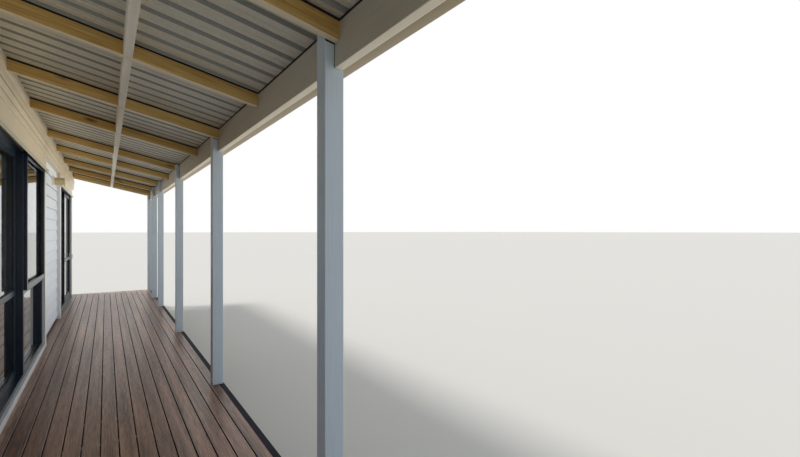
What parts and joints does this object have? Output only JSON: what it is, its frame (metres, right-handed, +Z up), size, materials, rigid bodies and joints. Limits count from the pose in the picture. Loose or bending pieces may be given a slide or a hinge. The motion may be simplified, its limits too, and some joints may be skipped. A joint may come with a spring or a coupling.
{
  "type": "beach house",
  "caption": "Single-storey weatherboard beach house with a long post-and-beam verandah, grooved timber deck, corrugated steel roofs and sliding glass doors.",
  "frame": {"origin": "centre of the bounding box's bottom face, on the ground", "axes": "+X along the verandah towards its far end, -Y towards the verandah side, +Z up"},
  "size_m": [13.325, 9.227, 4.1635],
  "materials": {
    "treated_pine": "rough sawn, weathered",
    "floor_boards": "satin varnish",
    "weatherboard_paint": "white acrylic paint on bevel-back boards",
    "ceiling_paint": "flat white paint",
    "roof_steel": "zinc-aluminium coated corrugated steel",
    "trim_paint": "white gloss acrylic",
    "gutter_steel": "white enamelled steel",
    "pvc": "white moulded",
    "frame_aluminium": "near-black powder coat",
    "glass": "clear float glass",
    "handle_paint": "white powder coat",
    "deck_hardwood": "reeded boards, oiled and weathered",
    "fascia_stain": "dark blue-grey stain",
    "post_paint": "white satin acrylic",
    "raw_pine": "raw planed pine",
    "primed_pine": "primed pine",
    "light_fitting": "yellowed diffuser on a white base"
  },
  "bodies": {
    "house": {"house_piles": "treated_pine", "deck_piles": "treated_pine", "deck_bearers": "treated_pine", "deck_joists": "treated_pine", "floor_platform": "floor_boards", "base_boards": "weatherboard_paint", "front_wall_near": "weatherboard_paint", "front_wall_centre": "weatherboard_paint", "front_wall_far": "weatherboard_paint", "front_wall_near_head": "weatherboard_paint", "front_wall_far_head": "weatherboard_paint", "back_wall": "weatherboard_paint", "near_end_wall": "weatherboard_paint", "far_end_wall": "weatherboard_paint", "ceiling": "ceiling_paint", "front_roof": "roof_steel", "back_roof": "roof_steel", "ridge_cap": "roof_steel", "apron_flashing": "roof_steel", "verandah_roof": "roof_steel", "fascia_boards": "trim_paint", "barge_boards": "trim_paint", "back_soffit": "trim_paint", "near_door_sill": "trim_paint", "main_gutters": "gutter_steel", "verandah_gutter": "gutter_steel", "downpipes": "pvc", "near_frame": "frame_aluminium", "near_sashes": "frame_aluminium", "far_frame": "frame_aluminium", "far_door_sill": "frame_aluminium", "far_fixed_sash": "frame_aluminium", "window_frames": "frame_aluminium", "near_glass": "glass", "far_fixed_glass": "glass", "window_glass": "glass", "deck_boards": "deck_hardwood", "deck_fascia": "fascia_stain", "post_1": "post_paint", "post_2": "post_paint", "post_3": "post_paint", "post_4": "post_paint", "post_5": "post_paint", "post_6": "post_paint", "post_7": "post_paint", "verandah_beam": "post_paint", "verandah_rafters": "raw_pine", "verandah_ledger": "primed_pine", "verandah_noggings": "primed_pine", "wall_light": "light_fitting"},
    "near_slider": {"near_slider_sash": "frame_aluminium", "near_slider_glass": "glass", "near_slider_handle": "handle_paint"},
    "far_slider": {"far_slider_sash": "frame_aluminium", "far_slider_glass": "glass", "far_slider_handle": "handle_paint"}
  },
  "joints": [
    {"name": "near_slide", "type": "slide", "parent": "house", "child": "near_slider", "axis": [1, 0, 0], "range_m": [0, 1.085]},
    {"name": "far_slide", "type": "slide", "parent": "house", "child": "far_slider", "axis": [-1, 0, 0], "range_m": [0, 1.185]}
  ]
}
